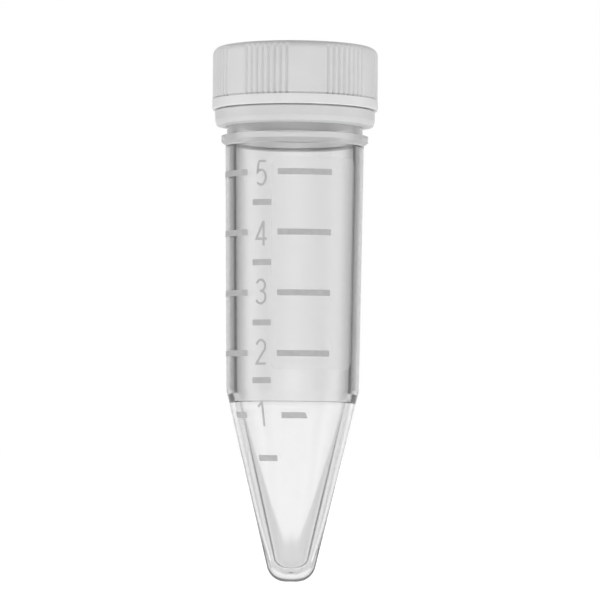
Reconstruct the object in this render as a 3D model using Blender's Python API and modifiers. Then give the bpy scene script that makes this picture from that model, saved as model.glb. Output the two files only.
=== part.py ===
"""A 5 mL conical sample tube with a ribbed screw cap, in metres, +Z up.

The tube hangs in a rack by its collar, so the origin is on the tube's axis, level with the
underside of the collar. Heights in this file are measured up from the tip, and one empty lowers
every piece by the height of the collar. The graduations are read from -Y.

The pieces are the tube, the screw cap, the tamper ring that stays on the neck under the cap, and
the seal ring that the cap presses on the rim. The cap turns and climbs on a right-hand thread.
"""

import math

import bmesh
import bpy
from mathutils import Matrix

NAME = "sample_tube"
MM = 0.001

# Shared fits
GAP = 0.30 * MM  # between neighbouring pieces
RUN_CLEARANCE = 0.30 * MM  # radial, between pieces that move past each other
SINK = 0.10 * MM  # how far a ridge's base goes into the wall that carries it
SIDES = 48  # round a turned piece
ARC_STEPS = 3  # along a rounded corner

# Tube body
CONE_HEIGHT = 22.47 * MM
BODY_HEIGHT = 28.97 * MM  # from the cone to the collar's underside
BODY_TOP_RADIUS = 8.20 * MM
BODY_DRAFT = 0.0128  # loss of radius for each unit of height, going down
BODY_WALL = 1.22 * MM
TIP_RADIUS = 2.44 * MM  # where the cone's side would meet the floor
TIP_ROUNDING = 2.20 * MM
CONE_WALL = 1.31 * MM  # measured level
FLOOR_THICKNESS = 1.36 * MM
FLOOR_ROUNDING = 1.65 * MM
SHOULDER_DROP = 0.92 * MM  # from the cone's outer edge down to the step in the bore
SHOULDER_HEIGHT = 0.60 * MM
SHOULDER_ROUNDING = 0.30 * MM

# Collar that rests on a rack
COLLAR_STEP = 0.51 * MM  # how far it stands out from the body
COLLAR_THICKNESS = 1.07 * MM
COLLAR_CHAMFER = 0.37 * MM
COLLAR_ROUNDING = 0.10 * MM
COLLAR_FOOT = 0.20 * MM  # fillet under the chamfer

# Neck and thread
NECK_HEIGHT = 7.79 * MM  # from the collar's top to the rim
NECK_STEP = 0.15 * MM  # how far the neck stands in from the body
THREAD_RELIEF = 0.35 * MM  # from the neck in to the root of the thread
THREAD_DEPTH = 0.60 * MM
THREAD_LEAD = 2.50 * MM
THREAD_TURNS = 1.25
THREAD_TOP_MARGIN = 0.90 * MM  # from the rim down to the thread's end
THREAD_BASE = 1.20 * MM  # width of a ridge at its root
THREAD_CREST = 0.60 * MM
THREAD_RUN_OUT = 0.10  # in turns, at each end
THREAD_STEPS = 40  # to a turn
RIM_CHAMFER = 0.18 * MM
BEAD_DEPTH = 0.45 * MM  # the bead stands out from the neck and holds the tamper ring down
BEAD_HEIGHT = 0.50 * MM
BEAD_SLOPE = 0.15 * MM

# Tamper ring
RING_TRAVEL = 0.96 * MM  # down to the collar, once its bridges are broken
RING_HEIGHT = 1.56 * MM
RING_WALL = 0.675 * MM
RING_LIP_HEIGHT = 0.55 * MM
RING_CHAMFER_WIDTH = 0.45 * MM
RING_CHAMFER_HEIGHT = 0.28 * MM
RING_TAPER = 0.12 * MM  # loss of radius from its widest line to its foot

# Screw cap
SEAL_THICKNESS = 1.00 * MM
SEAL_WIDTH = 2.00 * MM
SEAL_CHAMFER = 0.20 * MM
CAP_TOP_THICKNESS = 1.10 * MM
CAP_WALL = 1.16 * MM
CAP_EDGE_ROUNDING = 0.95 * MM
CAP_INNER_ROUNDING = 0.25 * MM
CAP_THREAD_TURNS = 1.10
CAP_THREAD_MARGIN = 0.645 * MM  # from the cap's foot up to the middle of its ridge's start
BAND_HEIGHT = 1.23 * MM  # the smooth band at the cap's foot
BAND_STEP = 0.05 * MM
BAND_ROUNDING = 0.18 * MM
BAND_NOTCH = 0.08 * MM  # depth and half height of the line above the band
CAP_MOUTH_CHAMFER = 0.15 * MM
GROOVE_DEPTH = 0.20 * MM
GROOVE_GROUPS = 7
GROOVES_PER_GROUP = 8
GROOVE_PITCH = math.radians(4.3)
WIDE_GAP = math.radians(29.0)  # one plain stretch is wider than the others
WIDE_GAP_MIDDLE = math.radians(8.8)  # from the front, towards +X

# Worked out from the sizes above, as heights from the tip
COLLAR_UNDERSIDE = CONE_HEIGHT + BODY_HEIGHT
COLLAR_TOP = COLLAR_UNDERSIDE + COLLAR_THICKNESS
RIM = COLLAR_TOP + NECK_HEIGHT
RING_FOOT = COLLAR_TOP + RING_TRAVEL + GAP
RING_TOP = RING_FOOT + RING_HEIGHT
CAP_FOOT = RING_TOP + GAP
SEAL_FOOT = RIM + GAP
CAP_CEILING = SEAL_FOOT + SEAL_THICKNESS + GAP
CAP_TOP = CAP_CEILING + CAP_TOP_THICKNESS
THREAD_FOOT = RIM - THREAD_TOP_MARGIN - THREAD_LEAD * THREAD_TURNS
CAP_THREAD_FOOT = THREAD_FOOT - THREAD_LEAD / 2  # the cap's ridge runs midway between the neck's
CAP_THREAD_START = (CAP_FOOT + CAP_THREAD_MARGIN - CAP_THREAD_FOOT) / THREAD_LEAD  # in turns

# Worked out from the sizes above, as radii
NECK_RADIUS = BODY_TOP_RADIUS - NECK_STEP
THREAD_ROOT_RADIUS = NECK_RADIUS - THREAD_RELIEF
THREAD_CREST_RADIUS = THREAD_ROOT_RADIUS + THREAD_DEPTH
BEAD_RADIUS = NECK_RADIUS + BEAD_DEPTH
RING_LIP_RADIUS = NECK_RADIUS + RUN_CLEARANCE
RING_BORE_RADIUS = BEAD_RADIUS + RUN_CLEARANCE
RING_RADIUS = RING_BORE_RADIUS + RING_WALL
CAP_BORE_RADIUS = THREAD_CREST_RADIUS + RUN_CLEARANCE
CAP_RADIUS = CAP_BORE_RADIUS + CAP_WALL
SEAL_RADIUS = CAP_BORE_RADIUS - RUN_CLEARANCE


def clear_scene():
    for obj in list(bpy.data.objects):
        bpy.data.objects.remove(obj, do_unlink=True)


def make_collection(name):
    collection = bpy.data.collections.new(name)
    bpy.context.scene.collection.children.link(collection)
    return collection


def make_material(name, colour, roughness, transmission=0.0):
    material = bpy.data.materials.new(name)
    material.use_nodes = True
    shader = material.node_tree.nodes["Principled BSDF"]
    shader.inputs["Base Color"].default_value = (*colour, 1.0)
    shader.inputs["Roughness"].default_value = roughness
    shader.inputs["Metallic"].default_value = 0.0
    shader.inputs["Transmission Weight"].default_value = transmission
    return material


def body_radius(height):
    """Outer radius of the drafted body at a height above the tip."""
    return BODY_TOP_RADIUS - BODY_DRAFT * (COLLAR_UNDERSIDE - height)


def bore_radius(height):
    return body_radius(height) - BODY_WALL


def cone_radius(height):
    """Outer radius of the cone at a height above the tip."""
    slope = (body_radius(CONE_HEIGHT) - TIP_RADIUS) / CONE_HEIGHT
    return TIP_RADIUS + slope * height


def cone_bore_radius(height):
    return cone_radius(height) - CONE_WALL


def rounded(corners):
    """An outline of (radius, height) points from (radius, height, rounding) corners."""
    points = []
    for index, (x, z, rounding) in enumerate(corners):
        if rounding == 0:
            points.append((x, z))
            continue
        before, after = corners[index - 1], corners[index + 1]
        points.extend(corner_arc((x, z), before, after, rounding))
    return points


def corner_arc(corner, before, after, rounding):
    """Points of the arc that touches both sides of a corner."""
    way_in = math.atan2(before[1] - corner[1], before[0] - corner[0])
    way_out = math.atan2(after[1] - corner[1], after[0] - corner[0])
    opening = (way_out - way_in + math.pi) % (2 * math.pi) - math.pi
    reach = rounding / math.sin(abs(opening) / 2)
    middle = way_in + opening / 2
    centre = (corner[0] + reach * math.cos(middle), corner[1] + reach * math.sin(middle))
    turn = math.pi - abs(opening)
    first = middle + math.pi + math.copysign(turn / 2, opening)
    points = []
    for step in range(ARC_STEPS + 1):
        angle = first - math.copysign(turn * step / ARC_STEPS, opening)
        points.append((centre[0] + rounding * math.cos(angle), centre[1] + rounding * math.sin(angle)))
    return points


def turned(name, outline, closed, collection):
    """A turned piece. Its outline runs down the outer side, and is closed if it is a ring."""
    mesh = bpy.data.meshes.new(name)
    edges = [(index, index + 1) for index in range(len(outline) - 1)]
    if closed:
        edges.append((len(outline) - 1, 0))
    mesh.from_pydata([(x, 0.0, z) for x, z in outline], edges, [])
    obj = bpy.data.objects.new(name, mesh)
    collection.objects.link(obj)
    screw = obj.modifiers.new("Turn", "SCREW")
    screw.axis = "Z"
    screw.steps = SIDES
    screw.render_steps = SIDES
    screw.use_merge_vertices = True
    screw.merge_threshold = 0.00001
    return obj


def combine(obj, tool, operation):
    """Join a tool to the object or cut it out. The tool itself is only a guide."""
    tool.hide_render = True
    tool.display_type = "WIRE"
    boolean = obj.modifiers.new(tool.name, "BOOLEAN")
    boolean.operation = operation
    boolean.solver = "EXACT"
    boolean.object = tool


def settle(obj):
    """Turn an object's modifiers into its mesh, and shade it as a round piece."""
    bpy.context.view_layer.update()
    evaluated = obj.evaluated_get(bpy.context.evaluated_depsgraph_get())
    mesh = bpy.data.meshes.new_from_object(evaluated)
    obj.modifiers.clear()
    obj.data = mesh
    mesh.shade_smooth()
    mesh.set_sharp_from_angle(angle=math.radians(35))


def finish_piece(obj, material, parent):
    settle(obj)
    obj.data.name = obj.name
    obj.data.materials.clear()
    obj.data.materials.append(material)
    obj.parent = parent


def helical_ridge(name, root, crest, foot, first_turn, turns, collection):
    """A thread's ridge: a loft along a helix, because both its ends sink into the wall.

    Its middle is at height foot where the turn is 0, and it starts at first_turn.
    """
    inward = math.copysign(1.0, root - crest)
    mesh = bmesh.new()
    rings = []
    steps = round(turns * THREAD_STEPS)
    for step in range(steps + 1):
        along = turns * step / steps
        share = min(1.0, along / THREAD_RUN_OUT, (turns - along) / THREAD_RUN_OUT)
        sunk = root + inward * SINK / 2
        tip = sunk + share * (crest - sunk)
        base = root + inward * SINK
        height = foot + THREAD_LEAD * (first_turn + along)
        angle = 2 * math.pi * (first_turn + along)
        section = [
            (base, -THREAD_BASE / 2),
            (tip, -THREAD_CREST / 2),
            (tip, THREAD_CREST / 2),
            (base, THREAD_BASE / 2),
        ]
        rings.append(
            [
                mesh.verts.new((radius * math.cos(angle), radius * math.sin(angle), height + rise))
                for radius, rise in section
            ]
        )
    for lower, upper in zip(rings, rings[1:]):
        for index in range(4):
            following = (index + 1) % 4
            mesh.faces.new((lower[index], lower[following], upper[following], upper[index]))
    mesh.faces.new(rings[0])
    mesh.faces.new(rings[-1])
    bmesh.ops.recalc_face_normals(mesh, faces=mesh.faces)
    return object_from(name, mesh, collection)


def object_from(name, mesh, collection):
    data = bpy.data.meshes.new(name)
    mesh.to_mesh(data)
    mesh.free()
    obj = bpy.data.objects.new(name, data)
    collection.objects.link(obj)
    return obj


def bore_outline():
    """The inside of the tube, from the middle of its floor up to its rim."""
    shoulder_top = CONE_HEIGHT - SHOULDER_DROP
    shoulder_foot = shoulder_top - SHOULDER_HEIGHT
    return [
        (0.0, FLOOR_THICKNESS, 0),
        (cone_bore_radius(FLOOR_THICKNESS), FLOOR_THICKNESS, FLOOR_ROUNDING),
        (cone_bore_radius(shoulder_foot), shoulder_foot, SHOULDER_ROUNDING),
        (bore_radius(shoulder_top), shoulder_top, SHOULDER_ROUNDING),
        (bore_radius(RIM), RIM, 0),
    ]


def neck_outline():
    """The outside of the neck, from the rim down to the collar."""
    bead_foot = RING_FOOT + RING_LIP_HEIGHT + GAP
    bead_top = bead_foot + BEAD_HEIGHT
    return [
        (THREAD_ROOT_RADIUS - RIM_CHAMFER, RIM, 0),
        (THREAD_ROOT_RADIUS, RIM - RIM_CHAMFER, 0),
        (THREAD_ROOT_RADIUS, bead_top + BEAD_SLOPE, 0),
        (BEAD_RADIUS, bead_top - BEAD_SLOPE, 0),
        (BEAD_RADIUS, bead_foot + BEAD_SLOPE, 0),
        (NECK_RADIUS, bead_foot, 0),
        (NECK_RADIUS, COLLAR_TOP, COLLAR_ROUNDING),
    ]


def body_outline():
    """The outside of the tube from its collar down to its tip."""
    collar_radius = BODY_TOP_RADIUS + COLLAR_STEP
    return [
        (collar_radius, COLLAR_TOP, COLLAR_ROUNDING),
        (collar_radius, COLLAR_UNDERSIDE + COLLAR_CHAMFER, COLLAR_ROUNDING),
        (BODY_TOP_RADIUS + COLLAR_ROUNDING, COLLAR_UNDERSIDE, 0),
        (body_radius(COLLAR_UNDERSIDE - COLLAR_FOOT), COLLAR_UNDERSIDE - COLLAR_FOOT, 0),
        (body_radius(CONE_HEIGHT), CONE_HEIGHT, 0),
        (TIP_RADIUS, 0.0, TIP_ROUNDING),
        (0.0, 0.0, 0),
    ]


def make_tube_body(parts, guides, material, parent):
    outline = rounded(bore_outline() + neck_outline() + body_outline())
    tube = turned("tube_body", outline, False, parts)
    thread = helical_ridge(
        "neck_thread",
        THREAD_ROOT_RADIUS,
        THREAD_CREST_RADIUS,
        THREAD_FOOT,
        0.0,
        THREAD_TURNS,
        guides,
    )
    combine(tube, thread, "UNION")
    finish_piece(tube, material, parent)


def make_tamper_ring(parts, material, parent):
    """The ring has a lip that catches under the neck's bead when the cap climbs."""
    lip_top = RING_FOOT + RING_LIP_HEIGHT
    outline = [
        (RING_BORE_RADIUS, lip_top + GAP),
        (RING_BORE_RADIUS, RING_TOP),
        (RING_RADIUS - RING_CHAMFER_WIDTH, RING_TOP),
        (RING_RADIUS, RING_TOP - RING_CHAMFER_HEIGHT),
        (RING_RADIUS - RING_TAPER, RING_FOOT),
        (RING_LIP_RADIUS, RING_FOOT),
        (RING_LIP_RADIUS, lip_top),
    ]
    ring = turned("tamper_ring", outline, True, parts)
    finish_piece(ring, material, parent)


def make_seal_ring(parts, material, parent):
    inner = SEAL_RADIUS - SEAL_WIDTH
    top = SEAL_FOOT + SEAL_THICKNESS
    outline = [
        (inner, top - SEAL_CHAMFER),
        (inner + SEAL_CHAMFER, top),
        (SEAL_RADIUS - SEAL_CHAMFER, top),
        (SEAL_RADIUS, top - SEAL_CHAMFER),
        (SEAL_RADIUS, SEAL_FOOT + SEAL_CHAMFER),
        (SEAL_RADIUS - SEAL_CHAMFER, SEAL_FOOT),
        (inner + SEAL_CHAMFER, SEAL_FOOT),
        (inner, SEAL_FOOT + SEAL_CHAMFER),
    ]
    ring = turned("seal_ring", outline, True, parts)
    finish_piece(ring, material, parent)


def cap_outline():
    """From the middle of the cap's top, down its outer side, and up inside to its ceiling."""
    band_top = CAP_FOOT + BAND_HEIGHT
    band_radius = CAP_RADIUS + BAND_STEP
    corners = [
        (0.0, CAP_TOP, 0),
        (CAP_RADIUS, CAP_TOP, CAP_EDGE_ROUNDING),
        (CAP_RADIUS, band_top + BAND_NOTCH, 0),
        (CAP_RADIUS - BAND_NOTCH, band_top, 0),
        (band_radius, band_top - BAND_NOTCH, 0),
        (band_radius, CAP_FOOT, BAND_ROUNDING),
        (CAP_BORE_RADIUS + CAP_MOUTH_CHAMFER, CAP_FOOT, 0),
        (CAP_BORE_RADIUS, CAP_FOOT + CAP_MOUTH_CHAMFER, 0),
        (CAP_BORE_RADIUS, CAP_CEILING, CAP_INNER_ROUNDING),
        (0.0, CAP_CEILING, 0),
    ]
    return rounded(corners)


def groove_angles():
    """Angles from the front towards +X, in groups with plain stretches between them."""
    group_span = GROOVE_PITCH * (GROOVES_PER_GROUP - 1)
    plain = (2 * math.pi - WIDE_GAP - GROOVE_GROUPS * group_span) / (GROOVE_GROUPS - 1)
    first = WIDE_GAP_MIDDLE + WIDE_GAP / 2
    return [
        first + group * (group_span + plain) + GROOVE_PITCH * index
        for group in range(GROOVE_GROUPS)
        for index in range(GROOVES_PER_GROUP)
    ]


def make_grooves(guides):
    """Four-sided bars round the cap, each with an edge pointing in, that cut V grooves."""
    foot = CAP_FOOT + BAND_HEIGHT
    top = CAP_TOP - CAP_EDGE_ROUNDING / 2
    mesh = bmesh.new()
    for angle in groove_angles():
        place = (
            Matrix.Rotation(angle - math.pi / 2, 4, "Z")
            @ Matrix.Translation((CAP_RADIUS, 0.0, (foot + top) / 2))
        )
        bmesh.ops.create_cone(
            mesh,
            cap_ends=True,
            segments=4,
            radius1=GROOVE_DEPTH,
            radius2=GROOVE_DEPTH,
            depth=top - foot,
            matrix=place,
        )
    return object_from("cap_grooves", mesh, guides)


def make_screw_cap(parts, guides, material, parent):
    cap = turned("screw_cap", cap_outline(), False, parts)
    thread = helical_ridge(
        "cap_thread",
        CAP_BORE_RADIUS,
        CAP_BORE_RADIUS - THREAD_DEPTH,
        CAP_THREAD_FOOT,
        CAP_THREAD_START,
        CAP_THREAD_TURNS,
        guides,
    )
    combine(cap, thread, "UNION")
    combine(cap, make_grooves(guides), "DIFFERENCE")
    finish_piece(cap, material, parent)


def main():
    clear_scene()
    parts = make_collection(NAME)
    guides = make_collection(NAME + "_guides")
    frame = bpy.data.objects.new("tube_frame", None)
    frame.location = (0.0, 0.0, -COLLAR_UNDERSIDE)
    parts.objects.link(frame)
    clear_plastic = make_material("clear_polypropylene", (0.90, 0.92, 0.92), 0.12, 0.9)
    white_plastic = make_material("white_polyethylene", (0.83, 0.84, 0.84), 0.38)
    soft_seal = make_material("white_silicone", (0.78, 0.78, 0.76), 0.60)
    make_tube_body(parts, guides, clear_plastic, frame)
    make_tamper_ring(parts, white_plastic, frame)
    make_seal_ring(parts, soft_seal, frame)
    make_screw_cap(parts, guides, white_plastic, frame)


main()
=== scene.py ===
import math

import bmesh
import bpy
from mathutils import Matrix, Vector


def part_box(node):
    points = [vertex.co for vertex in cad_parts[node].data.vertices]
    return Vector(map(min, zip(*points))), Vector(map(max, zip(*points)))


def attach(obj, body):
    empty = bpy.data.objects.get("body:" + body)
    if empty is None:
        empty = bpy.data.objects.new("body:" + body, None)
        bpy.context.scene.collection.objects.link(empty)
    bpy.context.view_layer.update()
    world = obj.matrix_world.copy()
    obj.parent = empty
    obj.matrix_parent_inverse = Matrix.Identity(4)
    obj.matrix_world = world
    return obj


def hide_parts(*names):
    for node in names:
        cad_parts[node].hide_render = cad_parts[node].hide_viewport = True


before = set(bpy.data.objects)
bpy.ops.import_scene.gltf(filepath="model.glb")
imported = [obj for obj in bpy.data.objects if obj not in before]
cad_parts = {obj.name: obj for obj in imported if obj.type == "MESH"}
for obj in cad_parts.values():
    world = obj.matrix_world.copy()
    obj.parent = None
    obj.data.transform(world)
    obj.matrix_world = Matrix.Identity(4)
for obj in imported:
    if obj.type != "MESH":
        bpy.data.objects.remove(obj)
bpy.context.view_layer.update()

# --------------------------------------------------------------------------------------
# Sizes, in metres. Heights are above the tube's tip. The frame's boxes place the pieces.
# --------------------------------------------------------------------------------------
MM = 0.001
TUBE_LOW, TUBE_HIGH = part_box("tube_body")
CAP_LOW, CAP_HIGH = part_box("screw_cap")
RING_LOW, RING_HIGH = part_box("tamper_ring")
SEAL_LOW, SEAL_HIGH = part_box("seal_ring")
TIP = TUBE_LOW[2]
RIM = TUBE_HIGH[2] - TIP
CAP_FOOT = CAP_LOW[2] - TIP
CAP_TOP = CAP_HIGH[2] - TIP
RING_FOOT = RING_LOW[2] - TIP

# Tube body
CONE_HEIGHT = 22.47 * MM
COLLAR_UNDERSIDE = -TIP
COLLAR_HEIGHT = 1.07 * MM
COLLAR_TOP = COLLAR_UNDERSIDE + COLLAR_HEIGHT
COLLAR_CHAMFER = 0.37 * MM  # height of the slope under the collar's side
COLLAR_FILLET = 0.12 * MM  # height of the small slope under the collar
COLLAR_FILLET_REACH = 0.06 * MM
COLLAR_MILK_DEPTH = 0.20 * MM  # how far below the collar its milkier plastic goes
BODY_TOP_RADIUS = 8.20 * MM
BODY_DRAFT = 0.0128
BODY_WALL = 1.22 * MM
TIP_RADIUS = 2.44 * MM
CONE_WALL = 1.31 * MM
TIP_ROUNDING = 2.20 * MM
FLOOR_THICKNESS = 1.36 * MM
FLOOR_ROUNDING = 1.65 * MM
SHOULDER_DROP = 1.16 * MM  # from the cone's outer edge down to the step in the bore
SHOULDER_TOP = CONE_HEIGHT - SHOULDER_DROP
SHOULDER_HEIGHT = 0.03 * MM
SHOULDER_ROUNDING = 0.02 * MM
COLLAR_RADIUS = TUBE_HIGH[0]
NECK_SET_BACK = 0.15 * MM
NECK_RADIUS = BODY_TOP_RADIUS - NECK_SET_BACK
BEAD_REACH = 0.45 * MM
BEAD_RADIUS = NECK_RADIUS + BEAD_REACH
BEAD_RISE = 0.85 * MM  # from the ring's foot to the bead's
BEAD_FOOT = RING_FOOT + BEAD_RISE
BEAD_THICKNESS = 0.50 * MM
BEAD_TOP = BEAD_FOOT + BEAD_THICKNESS
BEAD_SLOPE = 0.15 * MM
BEAD_ROUNDING = 0.08 * MM
RIM_BORE_ROUNDING = 0.12 * MM
RIM_OUTER_ROUNDING = 0.18 * MM
EDGE_ROUNDING = 0.05 * MM
NECK_FOOT_ROUNDING = 0.06 * MM
OUTSIDE_TOLERANCE = 0.01 * MM  # a face on the neck is this close to its radius

# Thread, shared by the neck and the cap
THREAD_ROOT_SET_BACK = 0.35 * MM
THREAD_ROOT_RADIUS = NECK_RADIUS - THREAD_ROOT_SET_BACK
THREAD_DEPTH = 0.60 * MM
THREAD_LEAD = 2.50 * MM
THREAD_TURNS = 1.25
THREAD_MARGIN = 0.90 * MM  # from the rim down to the end of the neck's ridge
THREAD_FOOT = RIM - THREAD_MARGIN - THREAD_LEAD * THREAD_TURNS
THREAD_BASE = 1.20 * MM
THREAD_CREST = 0.60 * MM
THREAD_RUN_OUT = 0.10  # of a turn, over which the ridge fades in and out
CAP_THREAD_TURNS = 1.10
CAP_THREAD_START = 0.5  # in turns
CAP_THREAD_FOOT = THREAD_FOOT - THREAD_LEAD / 2  # the cap's ridge runs midway between the neck's
THREAD_ROW = 0.20 * MM  # height between two rows of points in the thread
THREAD_END = 0.30 * MM  # plain wall between the rim and the first row

# Cap, ring and seal
RUN_CLEARANCE = 0.30 * MM
CAP_BORE_RADIUS = THREAD_ROOT_RADIUS + THREAD_DEPTH + RUN_CLEARANCE
BAND_RADIUS = CAP_HIGH[0]
BAND_STEP = 0.05 * MM
CAP_RADIUS = BAND_RADIUS - BAND_STEP
CAP_TOP_WALL = 1.10 * MM
CAP_CEILING = CAP_TOP - CAP_TOP_WALL
CEILING_MARGIN = 0.40 * MM  # plain wall under the ceiling
CEILING_ROUNDING = 0.25 * MM
CAP_MOUTH_CHAMFER = 0.15 * MM
BAND_HEIGHT = 1.23 * MM
BAND_TOP = CAP_FOOT + BAND_HEIGHT
BAND_FOOT_ROUNDING = 0.10 * MM
NOTCH_DEPTH = 0.18 * MM  # of the shadow line over the band
NOTCH_TOP = 0.12 * MM  # heights over and under the band's top
NOTCH_ROOT_TOP = 0.07 * MM
NOTCH_ROOT_FOOT = 0.05 * MM
NOTCH_FOOT = 0.10 * MM
NOTCH_ROUNDING = 0.04 * MM
GROOVE_FOOT_MARGIN = 0.02 * MM  # plain wall over the band's top
PAINTED_LIGHT_BAND_REACH = 0.30 * MM  # in from the cap's outside, for the band's faces, which get a lighter copy of the cap's plastic as painted light
PAINTED_LIGHT_BAND_MARGIN = 0.06 * MM  # under the band's top, where the band's painted light begins
CAP_EDGE_ROUNDING = 0.95 * MM
GROOVE_DEPTH = 0.26 * MM
GROOVE_REACH = 0.36  # half width of a groove, in pitches
GROOVE_FADE_START = 0.25 * MM  # below the cap's top
GROOVE_FADE = 0.55 * MM
GROOVE_GROUPS = 7
GROOVES_PER_GROUP = 8
GROOVE_PITCH = math.radians(4.3)
WIDE_GAP = math.radians(29.0)
WIDE_GAP_MIDDLE = math.radians(8.8)
GROOVE_SIDES = 1200
HAIRLINE = 0.02 * MM  # between the ring and the cap's band
RING_RADIUS = RING_HIGH[0]
RING_BORE_RADIUS = BEAD_RADIUS + RUN_CLEARANCE
RING_LIP_GAP = 0.03 * MM
RING_LIP_RADIUS = NECK_RADIUS + RING_LIP_GAP
RING_LIP_HEIGHT = 0.55 * MM
RING_LIP_SLOPE = 0.30 * MM
LIP_FOOT_ROUNDING = 0.02 * MM
LIP_TOP_ROUNDING = 0.06 * MM
RING_BEVEL_WIDTH = 0.35 * MM
RING_BEVEL_HEIGHT = 0.20 * MM
RING_BEVEL_ROUNDING = 0.08 * MM
RING_WAIST_TAPER = 0.05 * MM
RING_WAIST_HEIGHT = 0.55 * MM
RING_WAIST_ROUNDING = 0.30 * MM
RING_FOOT_TAPER = 0.20 * MM
SEAL_WIDTH = 2.0 * MM
SEAL_ROUNDING = 0.2 * MM
SEAL_SIDES = 144
RING_UNDERCUT = 0.22 * MM  # how far the ring's underside slopes down to its lip

# Print on the tube
INK_LIFT = 0.012 * MM
INK_THICKNESS = 0.016 * MM
STROKE_LIFT = 0.001 * MM  # by which a numeral's second stroke clears its first
PANEL_LIFT = 0.004 * MM
PANEL_THICKNESS = 0.006 * MM
BAR_WIDTH = 0.70 * MM
BAR_STEP = 1.5  # degrees between a bar's columns
BAR_RISES = (-0.5, -0.45, 0.45, 0.5)  # a bar's rows, in bar widths
STROKE = 0.27 * MM
MITER_LIMIT = 1.8
NUMERAL_HEIGHT = 2.95 * MM
NUMERAL_WIDTH = 1.48 * MM
PANEL_LEFT = math.radians(-19.2)
PANEL_RIGHT = math.radians(59.0)
PANEL_FOOT = 24.9 * MM
PANEL_TOP = 49.65 * MM
PANEL_ROUNDING = 1.0 * MM
PANEL_ROWS = 120
PANEL_COLUMNS = 80

SIDES = 512
ARC_STEPS = 5
LARGE_ARC_STEPS = 14
LARGE_ROUNDING = 0.90 * MM  # from here up an arc gets the larger number of steps
SUPPORT_REACH = 0.02 * MM
SHARP_ANGLE = 40  # degrees


# --------------------------------------------------------------------------------------
# Turned shapes
# --------------------------------------------------------------------------------------
def body_radius(height):
    return BODY_TOP_RADIUS - BODY_DRAFT * (COLLAR_UNDERSIDE - height)


def bore_radius(height):
    return body_radius(height) - BODY_WALL


def cone_radius(height):
    return TIP_RADIUS + (body_radius(CONE_HEIGHT) - TIP_RADIUS) * height / CONE_HEIGHT


def outer_radius(height):
    """The tube's outside at a height, below the collar and above the rounded tip."""
    return body_radius(height) if height > CONE_HEIGHT else cone_radius(height)


def corner_arc(corner, before, after, rounding):
    way_in = math.atan2(before[1] - corner[1], before[0] - corner[0])
    way_out = math.atan2(after[1] - corner[1], after[0] - corner[0])
    opening = (way_out - way_in + math.pi) % (2 * math.pi) - math.pi
    reach = rounding / math.sin(abs(opening) / 2)
    middle = way_in + opening / 2
    centre = (corner[0] + reach * math.cos(middle), corner[1] + reach * math.sin(middle))
    turn = math.pi - abs(opening)
    first = middle + math.pi + math.copysign(turn / 2, opening)
    points = []
    steps = LARGE_ARC_STEPS if rounding >= LARGE_ROUNDING else ARC_STEPS
    for step in range(steps + 1):
        angle = first - math.copysign(turn * step / steps, opening)
        points.append((centre[0] + rounding * math.cos(angle), centre[1] + rounding * math.sin(angle)))
    return points


def rounded(corners):
    """An outline of (radius, height) points from (radius, height, rounding) corners."""
    points = []
    for index, (x, z, rounding) in enumerate(corners):
        if rounding == 0:
            points.append((x, z))
            continue
        after = corners[(index + 1) % len(corners)]
        points.extend(corner_arc((x, z), corners[index - 1], after, rounding))
    return points


def supported(outline, reach=SUPPORT_REACH):
    """Adds a point close to both ends of each long straight stretch, so that it shades flat.
    None is added close to the axis.
    """
    points = [outline[0]]
    for (x0, z0), (x1, z1) in zip(outline, outline[1:]):
        length = math.hypot(x1 - x0, z1 - z0)
        if length > 12 * reach:
            share = reach / length
            for t in (share, 1 - share):
                x = x0 + (x1 - x0) * t
                if x > 2 * reach:
                    points.append((x, z0 + (z1 - z0) * t))
        points.append((x1, z1))
    return points


def rows_between(radius, top, foot, step):
    """Points down (or up) a straight wall, so that a relief has rows to bend."""
    count = max(2, round(abs(top - foot) / step))
    return [(radius, top + (foot - top) * index / count) for index in range(count + 1)]


def turn(name, outline, closed=False, relief=None, sides=SIDES):
    """A turned mesh from an outline of (radius, height) points. relief(r, z, angle) gives a new r."""
    if closed:
        outline = supported(outline + outline[:1])[:-1]
    else:
        outline = supported(outline)
    mesh = bmesh.new()
    rings = []
    for x, z in outline:
        if x < 1e-9:
            rings.append([mesh.verts.new((0.0, 0.0, z + TIP))])
            continue
        ring = []
        for side in range(sides):
            angle = 2 * math.pi * side / sides
            radius = relief(x, z, angle) if relief else x
            ring.append(mesh.verts.new((radius * math.sin(angle), -radius * math.cos(angle), z + TIP)))
        rings.append(ring)
    pairs = list(zip(rings, rings[1:]))
    if closed:
        pairs.append((rings[-1], rings[0]))
    for upper, lower in pairs:
        for side in range(sides):
            following = (side + 1) % sides
            if len(upper) == 1:
                mesh.faces.new((upper[0], lower[side], lower[following]))
            elif len(lower) == 1:
                mesh.faces.new((upper[side], lower[0], upper[following]))
            else:
                mesh.faces.new((upper[side], lower[side], lower[following], upper[following]))
    bmesh.ops.recalc_face_normals(mesh, faces=mesh.faces)
    return piece_from(name, mesh)


def piece_from(name, mesh):
    data = bpy.data.meshes.new(name)
    mesh.to_mesh(data)
    mesh.free()
    data.shade_smooth()
    data.set_sharp_from_angle(angle=math.radians(SHARP_ANGLE))
    obj = bpy.data.objects.new(name, data)
    bpy.context.scene.collection.objects.link(obj)
    return obj


def finish_piece(obj, material, body, replaced=None):
    obj.data.materials.append(material)
    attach(obj, body)
    if replaced:
        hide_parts(replaced)


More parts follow.
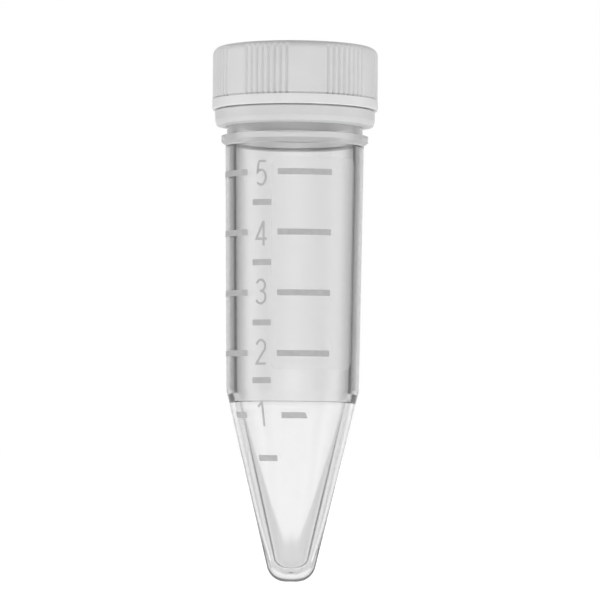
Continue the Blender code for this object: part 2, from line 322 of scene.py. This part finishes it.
# --------------------------------------------------------------------------------------
# Relief: thread ridges and cap grooves
# --------------------------------------------------------------------------------------
def ridge_height(height, angle, foot, first_turn, turns):
    """How far a thread's ridge stands out of its wall at a height and an angle from the front."""
    world_turn = (angle - math.pi / 2) / (2 * math.pi)
    best = 0.0
    first = math.ceil(first_turn - world_turn)
    last = math.floor(first_turn + turns - world_turn)
    for whole in range(first, last + 1):
        along = world_turn + whole - first_turn
        share = max(0.0, min(1.0, along / THREAD_RUN_OUT, (turns - along) / THREAD_RUN_OUT))
        share = share * share * (3 - 2 * share)
        middle = foot + THREAD_LEAD * (first_turn + along)
        flank = (THREAD_BASE / 2 - abs(height - middle)) / ((THREAD_BASE - THREAD_CREST) / 2)
        best = max(best, THREAD_DEPTH * share * max(0.0, min(1.0, flank)))
    return best


def neck_relief(radius, height, angle):
    if abs(radius - THREAD_ROOT_RADIUS) > 1e-8:
        return radius
    return radius + ridge_height(height, angle, THREAD_FOOT, 0.0, THREAD_TURNS)


def groove_angles():
    group_span = GROOVE_PITCH * (GROOVES_PER_GROUP - 1)
    plain = (2 * math.pi - WIDE_GAP - GROOVE_GROUPS * group_span) / (GROOVE_GROUPS - 1)
    first = WIDE_GAP_MIDDLE + WIDE_GAP / 2
    return [
        (first + group * (group_span + plain) + GROOVE_PITCH * index) % (2 * math.pi)
        for group in range(GROOVE_GROUPS)
        for index in range(GROOVES_PER_GROUP)
    ]


GROOVES = sorted(groove_angles())


def groove_share(angle):
    """1 in the middle of a groove, 0 on a rib's crest or a plain stretch."""
    nearest = min(abs((angle - groove + math.pi) % (2 * math.pi) - math.pi) for groove in GROOVES)
    reach = GROOVE_PITCH * GROOVE_REACH
    if nearest >= reach:
        return 0.0
    return 0.5 + 0.5 * math.cos(math.pi * nearest / reach)


GROOVE_TABLE = [groove_share(2 * math.pi * side / GROOVE_SIDES) for side in range(GROOVE_SIDES)]


def cap_relief(radius, height, angle):
    if abs(radius - CAP_BORE_RADIUS) < 1e-8:
        ridge = ridge_height(height, angle, CAP_THREAD_FOOT, CAP_THREAD_START, CAP_THREAD_TURNS)
        return radius - ridge
    if radius < CAP_RADIUS - CAP_EDGE_ROUNDING or height < BAND_TOP + GROOVE_FOOT_MARGIN:
        return radius
    side = round(angle / (2 * math.pi) * GROOVE_SIDES) % GROOVE_SIDES
    fade = (CAP_TOP - GROOVE_FADE_START - height) / GROOVE_FADE
    fade = max(0.0, min(1.0, fade))
    return radius - GROOVE_DEPTH * GROOVE_TABLE[side] * fade * fade * (3 - 2 * fade)


# --------------------------------------------------------------------------------------
# Pieces
# --------------------------------------------------------------------------------------
def make_tube(material, collar_material, neck_material):
    cone_bore = cone_radius(FLOOR_THICKNESS) - CONE_WALL
    shoulder_foot = SHOULDER_TOP - SHOULDER_HEIGHT
    inside = rounded([
        (0.0, FLOOR_THICKNESS, 0),
        (cone_bore, FLOOR_THICKNESS, FLOOR_ROUNDING),
        (cone_radius(shoulder_foot) - CONE_WALL, shoulder_foot, SHOULDER_ROUNDING),
        (bore_radius(SHOULDER_TOP), SHOULDER_TOP, SHOULDER_ROUNDING),
        (bore_radius(RIM), RIM, RIM_BORE_ROUNDING),
        (THREAD_ROOT_RADIUS, RIM, RIM_OUTER_ROUNDING),
        (THREAD_ROOT_RADIUS, RIM - THREAD_END, 0),
    ])
    thread = rows_between(THREAD_ROOT_RADIUS, RIM - THREAD_END, BEAD_TOP + BEAD_SLOPE, THREAD_ROW)
    fillet_foot = COLLAR_UNDERSIDE - COLLAR_FILLET
    outside = rounded([
        (THREAD_ROOT_RADIUS, BEAD_TOP + BEAD_SLOPE, 0),
        (BEAD_RADIUS, BEAD_TOP - BEAD_SLOPE, BEAD_ROUNDING),
        (BEAD_RADIUS, BEAD_FOOT + BEAD_SLOPE, BEAD_ROUNDING),
        (NECK_RADIUS, BEAD_FOOT, 2 * EDGE_ROUNDING),
        (NECK_RADIUS, COLLAR_TOP, NECK_FOOT_ROUNDING),
        (COLLAR_RADIUS, COLLAR_TOP, EDGE_ROUNDING),
        (COLLAR_RADIUS, COLLAR_UNDERSIDE + COLLAR_CHAMFER, EDGE_ROUNDING),
        (BODY_TOP_RADIUS + COLLAR_FILLET_REACH, COLLAR_UNDERSIDE, EDGE_ROUNDING),
        (body_radius(fillet_foot), fillet_foot, EDGE_ROUNDING),
        (body_radius(CONE_HEIGHT), CONE_HEIGHT, EDGE_ROUNDING),
        (TIP_RADIUS, 0.0, TIP_ROUNDING),
        (0.0, 0.0, 0),
    ])
    outline = inside + thread[1:-1] + outside
    tube = turn("tube_shell", outline, relief=neck_relief)
    finish_piece(tube, material, "tube", "tube_body")
    tube.data.materials.append(collar_material)
    tube.data.materials.append(neck_material)
    for face in tube.data.polygons:
        height = face.center.z - TIP
        outside = face.center.xy.length > NECK_RADIUS - OUTSIDE_TOLERANCE
        if COLLAR_UNDERSIDE - COLLAR_MILK_DEPTH < height < COLLAR_TOP and outside:
            face.material_index = 1
        elif COLLAR_TOP <= height < BEAD_FOOT and outside:
            face.material_index = 2


def make_cap(material, band_painted_light_material):
    outside = rounded([
        (0.0, CAP_TOP, 0),
        (CAP_RADIUS, CAP_TOP, CAP_EDGE_ROUNDING),
        (CAP_RADIUS, BAND_TOP + NOTCH_TOP, 0),
        (CAP_RADIUS - NOTCH_DEPTH, BAND_TOP + NOTCH_ROOT_TOP, 0),
        (CAP_RADIUS - NOTCH_DEPTH, BAND_TOP - NOTCH_ROOT_FOOT, 0),
        (BAND_RADIUS, BAND_TOP - NOTCH_FOOT, NOTCH_ROUNDING),
        (BAND_RADIUS, CAP_FOOT, BAND_FOOT_ROUNDING),
        (CAP_BORE_RADIUS + CAP_MOUTH_CHAMFER, CAP_FOOT, 0),
        (CAP_BORE_RADIUS, CAP_FOOT + CAP_MOUTH_CHAMFER, 0),
    ])
    wall_foot = CAP_FOOT + CAP_MOUTH_CHAMFER
    wall_top = CAP_CEILING - CEILING_MARGIN
    thread = rows_between(CAP_BORE_RADIUS, wall_foot, wall_top, THREAD_ROW)
    ceiling = rounded([
        (CAP_BORE_RADIUS, wall_top, 0),
        (CAP_BORE_RADIUS, CAP_CEILING, CEILING_ROUNDING),
        (0.0, CAP_CEILING, 0),
    ])
    outline = outside + thread[1:] + ceiling[1:]
    cap = turn("cap_shell", outline, relief=cap_relief, sides=GROOVE_SIDES)
    finish_piece(cap, material, "cap", "screw_cap")
    # The band's faces take a lighter copy of the cap's plastic: painted light on the band.
    cap.data.materials.append(band_painted_light_material)
    for face in cap.data.polygons:
        outside = face.center.xy.length > CAP_RADIUS - PAINTED_LIGHT_BAND_REACH
        if face.center.z - TIP < BAND_TOP - PAINTED_LIGHT_BAND_MARGIN and outside:
            face.material_index = 1


def make_ring(material):
    top = CAP_FOOT - HAIRLINE
    lip_top = RING_FOOT + RING_LIP_HEIGHT
    corners = [
        (RING_BORE_RADIUS, lip_top + RING_LIP_SLOPE, 0),
        (RING_BORE_RADIUS, top, EDGE_ROUNDING),
        (RING_RADIUS - RING_BEVEL_WIDTH, top, EDGE_ROUNDING),
        (RING_RADIUS, top - RING_BEVEL_HEIGHT, RING_BEVEL_ROUNDING),
        (RING_RADIUS - RING_WAIST_TAPER, RING_FOOT + RING_WAIST_HEIGHT, RING_WAIST_ROUNDING),
        (RING_RADIUS - RING_FOOT_TAPER, RING_FOOT, EDGE_ROUNDING),
        (RING_LIP_RADIUS, RING_FOOT - RING_UNDERCUT, LIP_FOOT_ROUNDING),
        (RING_LIP_RADIUS, lip_top, LIP_TOP_ROUNDING),
    ]
    ring = turn("tamper_band", rounded(corners), closed=True)
    finish_piece(ring, material, "tamper_band", "tamper_ring")


def make_seal(material):
    low, high = SEAL_LOW[2] - TIP, SEAL_HIGH[2] - TIP
    outer = SEAL_HIGH[0]
    inner = outer - SEAL_WIDTH
    corners = [
        (inner, high, SEAL_ROUNDING),
        (outer, high, SEAL_ROUNDING),
        (outer, low, SEAL_ROUNDING),
        (inner, low, SEAL_ROUNDING),
    ]
    seal = turn("seal", rounded(corners), closed=True, sides=SEAL_SIDES)
    finish_piece(seal, material, "seal", "seal_ring")


# --------------------------------------------------------------------------------------
# Print: ribbons that lie on the tube's outside
# --------------------------------------------------------------------------------------
def film(rows, lift, thickness):
    """A closed thin film on the tube from rows of (angle, height) points, all rows equally long."""
    mesh = bmesh.new()
    layers = []
    for stand in (lift, lift + thickness):
        layer = []
        for row in rows:
            layer.append([mesh.verts.new(polar(angle, height, stand)) for angle, height in row])
        layers.append(layer)
    inner, outer = layers
    for i in range(len(rows) - 1):
        for j in range(len(rows[0]) - 1):
            mesh.faces.new((outer[i][j], outer[i][j + 1], outer[i + 1][j + 1], outer[i + 1][j]))
            mesh.faces.new((inner[i][j], inner[i + 1][j], inner[i + 1][j + 1], inner[i][j + 1]))
    edge = [(0, j) for j in range(len(rows[0]))]
    edge += [(i, len(rows[0]) - 1) for i in range(1, len(rows))]
    edge += [(len(rows) - 1, j) for j in range(len(rows[0]) - 2, -1, -1)]
    edge += [(i, 0) for i in range(len(rows) - 2, 0, -1)]
    for (a, b), (c, d) in zip(edge, edge[1:] + edge[:1]):
        mesh.faces.new((inner[a][b], inner[c][d], outer[c][d], outer[a][b]))
    bmesh.ops.recalc_face_normals(mesh, faces=mesh.faces)
    return mesh


def polar(angle, height, lift):
    radius = outer_radius(height) + lift
    return (radius * math.sin(angle), -radius * math.cos(angle), height + TIP)


def bar_rows(start, end, height, slant=0.0):
    """Rows of a bar round the tube between two angles in degrees."""
    count = max(3, math.ceil(abs(end - start) / BAR_STEP))
    rows = []
    for rise in BAR_RISES:
        row = []
        for index in range(count + 1):
            angle = math.radians(start + (end - start) * index / count)
            if index == count:
                angle -= math.radians(slant) * rise
            row.append((angle, height + rise * BAR_WIDTH))
        rows.append(row)
    return rows


# Bars: (first angle, last angle) in degrees, and their heights above the tip in millimetres.
# The bars for 1 and 0.5 are on the cone.
FULL_LEFT = (-88.0, -42.0)
FULL_RIGHT = (-13.6, 32.2)
HALF = (-36.4, -18.9)
HEIGHTS = {5: 47.84, 4.5: 44.30, 4: 40.83, 3.5: 37.30, 3: 33.79, 2.5: 30.30, 2: 26.75, 1.5: 23.60}
CONE_LEFT = (-66.0, -48.0)
CONE_RIGHT = (-10.1, 13.3)
CONE_HALF = (-40.0, -16.5)
ONE_HEIGHT = 19.57
HALF_HEIGHT = 14.57
ONE_SLANT = 2.5  # degrees, by which the right end of the bar for 1 leans


def bars():
    """Each bar as (first angle, last angle, height, slant of its right end)."""
    for value, height in HEIGHTS.items():
        if value == int(value):
            yield (*FULL_LEFT, height * MM, 0.0)
            yield (*FULL_RIGHT, height * MM, 0.0)
        else:
            yield (*HALF, height * MM, 0.0)
    yield (*CONE_RIGHT, ONE_HEIGHT * MM, ONE_SLANT)
    yield (*CONE_LEFT, ONE_HEIGHT * MM, 0.0)
    yield (*CONE_HALF, HALF_HEIGHT * MM, 0.0)


def ellipse(centre_x, centre_y, radius_x, radius_y, start, end, steps=18):
    return [
        (
            centre_x + radius_x * math.cos(math.radians(start + (end - start) * k / steps)),
            centre_y + radius_y * math.sin(math.radians(start + (end - start) * k / steps)),
        )
        for k in range(steps + 1)
    ]


def straight(start, end, steps=8):
    return [
        (start[0] + (end[0] - start[0]) * k / steps, start[1] + (end[1] - start[1]) * k / steps)
        for k in range(steps + 1)
    ]


# Strokes of each numeral in a box 1 wide and 2 tall
def numeral_strokes(value):
    if value == 5:
        return [
            straight((0.88, 1.93), (0.27, 1.93)),
            straight((0.27, 1.93), (0.12, 1.02)) + ellipse(0.46, 0.66, 0.42, 0.59, 138, -140, 30)[1:],
        ]
    if value == 4:
        return [
            straight((0.70, 1.95), (0.05, 0.56), 10) + straight((0.05, 0.56), (0.98, 0.56))[1:],
            straight((0.70, 1.95), (0.70, 0.02), 10),
        ]
    if value == 3:
        return [
            ellipse(0.46, 1.49, 0.37, 0.44, 160, -80, 22) + straight((0.52, 1.05), (0.40, 1.04), 2),
            ellipse(0.45, 0.56, 0.43, 0.50, 82, -155, 26),
        ]
    if value == 2:
        return [
            ellipse(0.49, 1.43, 0.38, 0.50, 165, -32, 22)
            + straight((0.80, 1.14), (0.08, 0.07), 10)[1:]
            + straight((0.08, 0.07), (0.92, 0.07))[1:],
        ]
    return [straight((0.30, 1.55), (0.68, 1.93), 4) + straight((0.68, 1.93), (0.68, 0.02), 10)[1:]]


def ribbon(points, width):
    """Left and right edges of a stroke, mitred at its corners."""
    sides = []
    for index, point in enumerate(points):
        before = Vector(points[max(index - 1, 0)])
        after = Vector(points[min(index + 1, len(points) - 1)])
        here = Vector(point)
        first = (here - before).normalized() if index else (after - here).normalized()
        second = (after - here).normalized() if index < len(points) - 1 else first
        tangent = (first + second).normalized()
        normal = Vector((-tangent.y, tangent.x))
        miter = min(MITER_LIMIT, 1.0 / max(0.5, tangent.dot(first)))
        sides.append((here + normal * width / 2 * miter, here - normal * width / 2 * miter))
    return sides


# Each numeral's middle: its angle in degrees, and its height above the tip in millimetres
NUMERAL_PLACES = {
    5: (-27.9, 47.68),
    4: (-27.9, 40.68),
    3: (-27.9, 33.9),
    2: (-27.9, 26.9),
    1: (-30.3, 19.7),
}


def numeral_rows(value):
    """Films of one numeral: each stroke as rows of (angle, height)."""
    angle, height = NUMERAL_PLACES[value]
    middle = math.radians(angle)
    radius = outer_radius(height * MM)
    for stroke in numeral_strokes(value):
        placed = [
            ((x - 0.5) * NUMERAL_WIDTH, (y / 2 - 0.5) * NUMERAL_HEIGHT + height * MM) for x, y in stroke
        ]
        rows = []
        for left, right in ribbon(placed, STROKE):
            rows.append([
                (middle + left.x / radius, left.y),
                (middle + (left.x + right.x) / 2 / radius, (left.y + right.y) / 2),
                (middle + right.x / radius, right.y),
            ])
        yield rows


def merge(target, source):
    """Adds one bmesh's geometry to another."""
    data = bpy.data.meshes.new("film")
    source.to_mesh(data)
    source.free()
    target.from_mesh(data)
    bpy.data.meshes.remove(data)


def make_print(material):
    graduations = bmesh.new()
    for start, end, height, slant in bars():
        merge(graduations, film(bar_rows(start, end, height, slant), INK_LIFT, INK_THICKNESS))
    obj = piece_from("graduations", graduations)
    finish_piece(obj, material, "tube")
    numerals = bmesh.new()
    for value in NUMERAL_PLACES:
        for index, rows in enumerate(numeral_rows(value)):
            lift = INK_LIFT + index * STROKE_LIFT
            merge(numerals, film(rows, lift, INK_THICKNESS))
    obj = piece_from("numerals", numerals)
    finish_piece(obj, material, "tube")


def make_panel(material):
    """The frosted writing panel, with rounded corners."""
    span = PANEL_RIGHT - PANEL_LEFT
    rows = []
    for step in range(PANEL_ROWS + 1):
        share = 0.5 - 0.5 * math.cos(math.pi * step / PANEL_ROWS)
        height = PANEL_FOOT + (PANEL_TOP - PANEL_FOOT) * share
        edge = max(0.0, PANEL_ROUNDING - min(height - PANEL_FOOT, PANEL_TOP - height))
        inset = PANEL_ROUNDING - math.sqrt(max(0.0, PANEL_ROUNDING * PANEL_ROUNDING - edge * edge))
        inset_angle = inset / outer_radius(height)
        width = span - 2 * inset_angle
        start = PANEL_LEFT + inset_angle
        rows.append([(start + width * k / PANEL_COLUMNS, height) for k in range(PANEL_COLUMNS + 1)])
    mesh = film(rows, PANEL_LIFT, PANEL_THICKNESS)
    obj = piece_from("writing_panel", mesh)
    finish_piece(obj, material, "tube")


# --------------------------------------------------------------------------------------
# Materials
# --------------------------------------------------------------------------------------
def new_material(name):
    material = bpy.data.materials.new(name)
    material.use_nodes = True
    return material, material.node_tree, material.node_tree.nodes["Principled BSDF"]


def noise(tree, scale, detail=3.0):
    """Noise in the object's own space."""
    place = tree.nodes.new("ShaderNodeTexCoord")
    texture = tree.nodes.new("ShaderNodeTexNoise")
    texture.inputs["Scale"].default_value = scale
    texture.inputs["Detail"].default_value = detail
    tree.links.new(place.outputs["Object"], texture.inputs["Vector"])
    return texture.outputs["Fac"]


NOISE_LOW = 0.3
NOISE_HIGH = 0.7


def spread(tree, value, low, high):
    """Maps the range that a noise mostly keeps to onto low to high."""
    node = tree.nodes.new("ShaderNodeMapRange")
    node.inputs["From Min"].default_value = NOISE_LOW
    node.inputs["From Max"].default_value = NOISE_HIGH
    node.inputs["To Min"].default_value = low
    node.inputs["To Max"].default_value = high
    tree.links.new(value, node.inputs["Value"])
    return node.outputs["Result"]


def tint(tree, value, dark, light):
    ramp = tree.nodes.new("ShaderNodeValToRGB")
    ramp.color_ramp.elements[0].position = NOISE_LOW
    ramp.color_ramp.elements[0].color = (*dark, 1.0)
    ramp.color_ramp.elements[1].position = NOISE_HIGH
    ramp.color_ramp.elements[1].color = (*light, 1.0)
    tree.links.new(value, ramp.inputs["Fac"])
    return ramp.outputs["Color"]


BUMP_DISTANCE = 0.01 * MM


def bump(tree, shader, value, strength):
    node = tree.nodes.new("ShaderNodeBump")
    node.inputs["Strength"].default_value = strength
    node.inputs["Distance"].default_value = BUMP_DISTANCE
    tree.links.new(value, node.inputs["Height"])
    tree.links.new(node.outputs["Normal"], shader.inputs["Normal"])


CONE_TINT = 0.995
BODY_TINT = 0.93
NECK_TINT = 0.965
TINT_STEP = 0.003  # half the height over which the tint changes at the shoulder, as a share
NECK_TINT_START = 0.02  # above the collar's underside, as a share of the tube's height
TINT_STEP_DROP = 0.30 * MM  # of that change, under the top of the step in the bore


def height_tint(tree):
    """A tint by height: the cone is the clearest, then the neck, then the body."""
    place = tree.nodes.new("ShaderNodeTexCoord")
    split = tree.nodes.new("ShaderNodeSeparateXYZ")
    tree.links.new(place.outputs["Object"], split.inputs["Vector"])
    scale = tree.nodes.new("ShaderNodeMapRange")
    scale.inputs["From Min"].default_value = TIP
    scale.inputs["From Max"].default_value = TIP + RIM
    tree.links.new(split.outputs["Z"], scale.inputs["Value"])
    ramp = tree.nodes.new("ShaderNodeValToRGB")
    shoulder = (SHOULDER_TOP - TINT_STEP_DROP) / RIM
    collar = COLLAR_UNDERSIDE / RIM
    stops = [
        (0.0, CONE_TINT),
        (shoulder - TINT_STEP, CONE_TINT),
        (shoulder + TINT_STEP, BODY_TINT),
        (collar, BODY_TINT),
        (collar + NECK_TINT_START, NECK_TINT),
    ]
    while len(ramp.color_ramp.elements) < len(stops):
        ramp.color_ramp.elements.new(0.5)
    for element, (position, level) in zip(ramp.color_ramp.elements, stops):
        element.position = position
        element.color = (level, level, level, 1.0)
    tree.links.new(scale.outputs["Result"], ramp.inputs["Fac"])
    return ramp.outputs["Color"]


def clear_plastic(name, clearness):
    """Polypropylene, milkier with less clearness."""
    material, tree, shader = new_material(name)
    shader.inputs["Transmission Weight"].default_value = clearness
    shader.inputs["IOR"].default_value = 1.49
    tree.links.new(height_tint(tree), shader.inputs["Base Color"])
    tree.links.new(spread(tree, noise(tree, 300.0), 0.015, 0.045), shader.inputs["Roughness"])
    return material


WHITE_VARIATION = 0.02
WHITE_COOLNESS = 1.005  # green and blue against red


def grey(level):
    return (level, level, level)


def white_plastic(name, brightness, spread_weight, spread_depth):
    """White polyethylene, more or less translucent with the depth that light spreads to in it."""
    material, tree, shader = new_material(name)
    cloud = noise(tree, 220.0, 3.0)
    shades = (brightness - WHITE_VARIATION, brightness + WHITE_VARIATION)
    dark, light = [(level, level * WHITE_COOLNESS, level * WHITE_COOLNESS) for level in shades]
    tree.links.new(tint(tree, cloud, dark, light), shader.inputs["Base Color"])
    tree.links.new(spread(tree, noise(tree, 500.0), 0.33, 0.45), shader.inputs["Roughness"])
    shader.inputs["IOR"].default_value = 1.50
    shader.inputs["Subsurface Weight"].default_value = spread_weight
    shader.inputs["Subsurface Radius"].default_value = (1.0, 1.0, 1.0)
    shader.inputs["Subsurface Scale"].default_value = spread_depth
    bump(tree, shader, noise(tree, 1400.0, 2.0), 0.35)
    return material


def silicone():
    """The seal's soft white rubber."""
    material, tree, shader = new_material("white_silicone")
    colour = tint(tree, noise(tree, 400.0), (0.72, 0.72, 0.70), (0.78, 0.78, 0.76))
    tree.links.new(colour, shader.inputs["Base Color"])
    tree.links.new(spread(tree, noise(tree, 900.0), 0.50, 0.65), shader.inputs["Roughness"])
    bump(tree, shader, noise(tree, 2500.0, 2.0), 0.4)
    return material


def ink():
    """Grey print."""
    material, tree, shader = new_material("grey_print")
    colour = tint(tree, noise(tree, 1800.0), grey(0.47), grey(0.54))
    tree.links.new(colour, shader.inputs["Base Color"])
    tree.links.new(spread(tree, noise(tree, 3000.0), 0.45, 0.60), shader.inputs["Roughness"])
    return material


def frost():
    """The writing panel: a thin matt veil over the plastic."""
    material, tree, shader = new_material("frosted_panel")
    colour = tint(tree, noise(tree, 2500.0), grey(0.80), grey(0.88))
    tree.links.new(colour, shader.inputs["Base Color"])
    tree.links.new(spread(tree, noise(tree, 4000.0), 0.75, 0.95), shader.inputs["Roughness"])
    shader.inputs["Alpha"].default_value = 0.15
    return material


# --------------------------------------------------------------------------------------
# Stage
# --------------------------------------------------------------------------------------
def math_node(tree, operation, first, second=None):
    node = tree.nodes.new("ShaderNodeMath")
    node.operation = operation
    for index, value in enumerate((first, second)):
        if value is None:
            continue
        if isinstance(value, (int, float)):
            node.inputs[index].default_value = value
        else:
            tree.links.new(value, node.inputs[index])
    return node.outputs[0]


# Light levels as (azimuth, level). The azimuth runs from the fore-and-aft axis, in degrees, and
# the four quarters are alike. White screens stand in front, behind and at the sides, with black
# flags between them. Under the screens comes a grey table, whose far edge is darker or lighter
# than its top by direction.
SCREENS = [(0, 1.0), (11, 0.93), (17, 0.66), (26, 0.48), (38, 0.36), (46, 0.10), (60, 0.10), (78, 0.93)]
TABLE_EDGE = [(0, 0.71), (20, 0.69), (34, 0.66), (48, 0.62), (54, 0.20), (62, 0.20), (72, 0.60), (90, 0.74)]
TABLE_TOP = [(0, 0.70), (25, 0.70), (36, 0.80), (48, 0.78), (53, 0.22), (60, 0.22), (66, 0.78), (90, 0.66)]
HORIZON = -1.9  # degrees: the foot of the screens, straight behind and in front
HORIZON_DROP = 4.7  # degrees: how much lower the screens reach beside that
HORIZON_DROP_END = 32.6  # degrees of azimuth, where the drop is complete
HORIZON_DROP_POWER = 1.38  # traced through the cone's wall, from the grey V in the photo
LOW_SCREENS = [(0, 1.0), (28, 1.0), (34, 0.62), (46, 0.10), (60, 0.10), (78, 0.93)]
LOW_SCREENS_TOP = -0.7  # degrees: under here LOW_SCREENS take over from SCREENS
HORIZON_BLUR = 0.06
TABLE_BLUR = 0.5
TABLE_HORIZON = -6.5  # degrees: under here TABLE_TOP takes over from TABLE_EDGE
UPPER_LEVEL = 0.90
UPPER_LEVEL_FROM = 9.0  # degrees
UPPER_LEVEL_TO = 22.0
CEILING_LEVEL = 0.15
CEILING_FROM = 35.0
CEILING_TO = 55.0
FLOOR_RADIUS = 1.5
FLOOR_GAP = 0.2 * MM  # under the tip
FLOOR_GLOW = 0.75


def levels(tree, share, stops):
    """A grey ramp over 0 to 90 degrees."""
    node = tree.nodes.new("ShaderNodeValToRGB")
    ramp = node.color_ramp
    while len(ramp.elements) < len(stops):
        ramp.elements.new(0.5)
    for element, (degrees, level) in zip(ramp.elements, stops):
        element.position = degrees / 90
        element.color = (level, level, level, 1.0)
    tree.links.new(share, node.inputs["Fac"])
    return node.outputs["Color"]


def blend_up(tree, height, low, high, below, above):
    """Goes from one colour to another as the direction rises from low to high, in degrees."""
    rise = tree.nodes.new("ShaderNodeMapRange")
    rise.interpolation_type = "SMOOTHSTEP"
    rise.inputs["From Min"].default_value = math.sin(math.radians(low))
    rise.inputs["From Max"].default_value = math.sin(math.radians(high))
    tree.links.new(height, rise.inputs["Value"])
    mix = tree.nodes.new("ShaderNodeMix")
    mix.data_type = "RGBA"
    tree.links.new(rise.outputs["Result"], mix.inputs["Factor"])
    for socket, colour in ((mix.inputs["A"], below), (mix.inputs["B"], above)):
        if isinstance(colour, float):
            socket.default_value = (colour, colour, colour, 1.0)
        else:
            tree.links.new(colour, socket)
    return mix.outputs["Result"]


def make_world():
    """The studio round the tube. Straight from the camera it is plain white."""
    world = bpy.data.worlds.new("studio")
    bpy.context.scene.world = world
    world.use_nodes = True
    tree = world.node_tree
    tree.nodes.clear()
    place = tree.nodes.new("ShaderNodeTexCoord")
    split = tree.nodes.new("ShaderNodeSeparateXYZ")
    tree.links.new(place.outputs["Generated"], split.inputs["Vector"])
    height = split.outputs["Z"]
    x = math_node(tree, "ABSOLUTE", split.outputs["X"])
    y = math_node(tree, "ABSOLUTE", split.outputs["Y"])
    share = math_node(tree, "DIVIDE", math_node(tree, "ARCTAN2", x, y), math.pi / 2)
    colour = levels(tree, share, TABLE_TOP)
    edge = levels(tree, share, TABLE_EDGE)
    low, high = TABLE_HORIZON - TABLE_BLUR, TABLE_HORIZON + TABLE_BLUR
    colour = blend_up(tree, height, low, high, colour, edge)
    aside = math_node(tree, "DIVIDE", share, HORIZON_DROP_END / 90)
    aside = math_node(tree, "MINIMUM", aside, 1.0)
    drop = math_node(tree, "POWER", aside, HORIZON_DROP_POWER)
    drop = math_node(tree, "MULTIPLY", drop, math.radians(HORIZON_DROP))
    dropped = math_node(tree, "ADD", height, drop)
    low, high = HORIZON - HORIZON_BLUR, HORIZON + HORIZON_BLUR
    colour = blend_up(tree, dropped, low, high, colour, levels(tree, share, LOW_SCREENS))
    low, high = LOW_SCREENS_TOP - TABLE_BLUR, LOW_SCREENS_TOP + TABLE_BLUR
    colour = blend_up(tree, height, low, high, colour, levels(tree, share, SCREENS))
    colour = blend_up(tree, height, UPPER_LEVEL_FROM, UPPER_LEVEL_TO, colour, UPPER_LEVEL)
    colour = blend_up(tree, height, CEILING_FROM, CEILING_TO, colour, CEILING_LEVEL)
    lit = tree.nodes.new("ShaderNodeBackground")
    tree.links.new(colour, lit.inputs["Color"])
    seen = tree.nodes.new("ShaderNodeBackground")
    seen.inputs["Color"].default_value = (1.0, 1.0, 1.0, 1.0)
    path = tree.nodes.new("ShaderNodeLightPath")
    choose = tree.nodes.new("ShaderNodeMixShader")
    tree.links.new(path.outputs["Is Camera Ray"], choose.inputs["Fac"])
    tree.links.new(lit.outputs["Background"], choose.inputs[1])
    tree.links.new(seen.outputs["Background"], choose.inputs[2])
    output = tree.nodes.new("ShaderNodeOutputWorld")
    tree.links.new(choose.outputs["Shader"], output.inputs["Surface"])


def make_floor():
    """A white light table under the tip. The plastic neither bends nor mirrors it."""
    mesh = bmesh.new()
    bmesh.ops.create_circle(mesh, cap_ends=True, segments=96, radius=FLOOR_RADIUS)
    data = bpy.data.meshes.new("floor")
    mesh.to_mesh(data)
    mesh.free()
    floor = bpy.data.objects.new("floor", data)
    floor.location = (0.0, 0.0, TIP - FLOOR_GAP)
    bpy.context.scene.collection.objects.link(floor)
    material, tree, shader = new_material("white_table")
    shader.inputs["Base Color"].default_value = (0.85, 0.85, 0.85, 1.0)
    shader.inputs["Roughness"].default_value = 0.8
    shader.inputs["Emission Color"].default_value = (1.0, 1.0, 1.0, 1.0)
    shader.inputs["Emission Strength"].default_value = FLOOR_GLOW
    data.materials.append(material)
    floor.visible_transmission = False
    floor.visible_glossy = False


EYE_DISTANCE = 401.4 * MM
EYE_HEIGHT = 18.5 * MM  # above the tip
AIM_HEIGHT = 33.2 * MM
AIM_ACROSS = 0.78 * MM
ROLL = math.radians(0.48)
LENS = 204.0  # millimetres, on a sensor 36 mm wide
SENSOR = 36.0


def make_camera():
    camera = bpy.data.cameras.new("camera")
    camera.lens = LENS
    camera.sensor_width = SENSOR
    camera.clip_start = 0.01
    obj = bpy.data.objects.new("camera", camera)
    place = Vector((AIM_ACROSS, -EYE_DISTANCE, TIP + EYE_HEIGHT))
    aim = Vector((AIM_ACROSS, 0.0, TIP + AIM_HEIGHT))
    look = (aim - place).to_track_quat("-Z", "Y").to_matrix().to_4x4()
    obj.matrix_world = Matrix.Translation(place) @ look @ Matrix.Rotation(ROLL, 4, "Z")
    bpy.context.scene.collection.objects.link(obj)
    bpy.context.scene.camera = obj


def main():
    make_camera()
    make_world()
    make_floor()
    bpy.context.scene.view_settings.view_transform = "Standard"
    make_tube(
        clear_plastic("clear_polypropylene", 0.96),
        clear_plastic("collar_polypropylene", 0.52),
        clear_plastic("neck_polypropylene", 0.55),
    )
    make_cap(
        white_plastic("cap_polyethylene", 0.75, 0.15, 0.3 * MM),
        # The band's plastic is a lighter copy of the cap's: painted light.
        white_plastic("band_painted_light_polyethylene", 0.82, 0.25, 0.4 * MM),
    )
    # The ring's plastic is a darker copy of the cap's: painted shade.
    make_ring(white_plastic("ring_painted_shade_polyethylene", 0.70, 0.15, 0.3 * MM))
    make_seal(silicone())
    make_print(ink())
    make_panel(frost())


main()
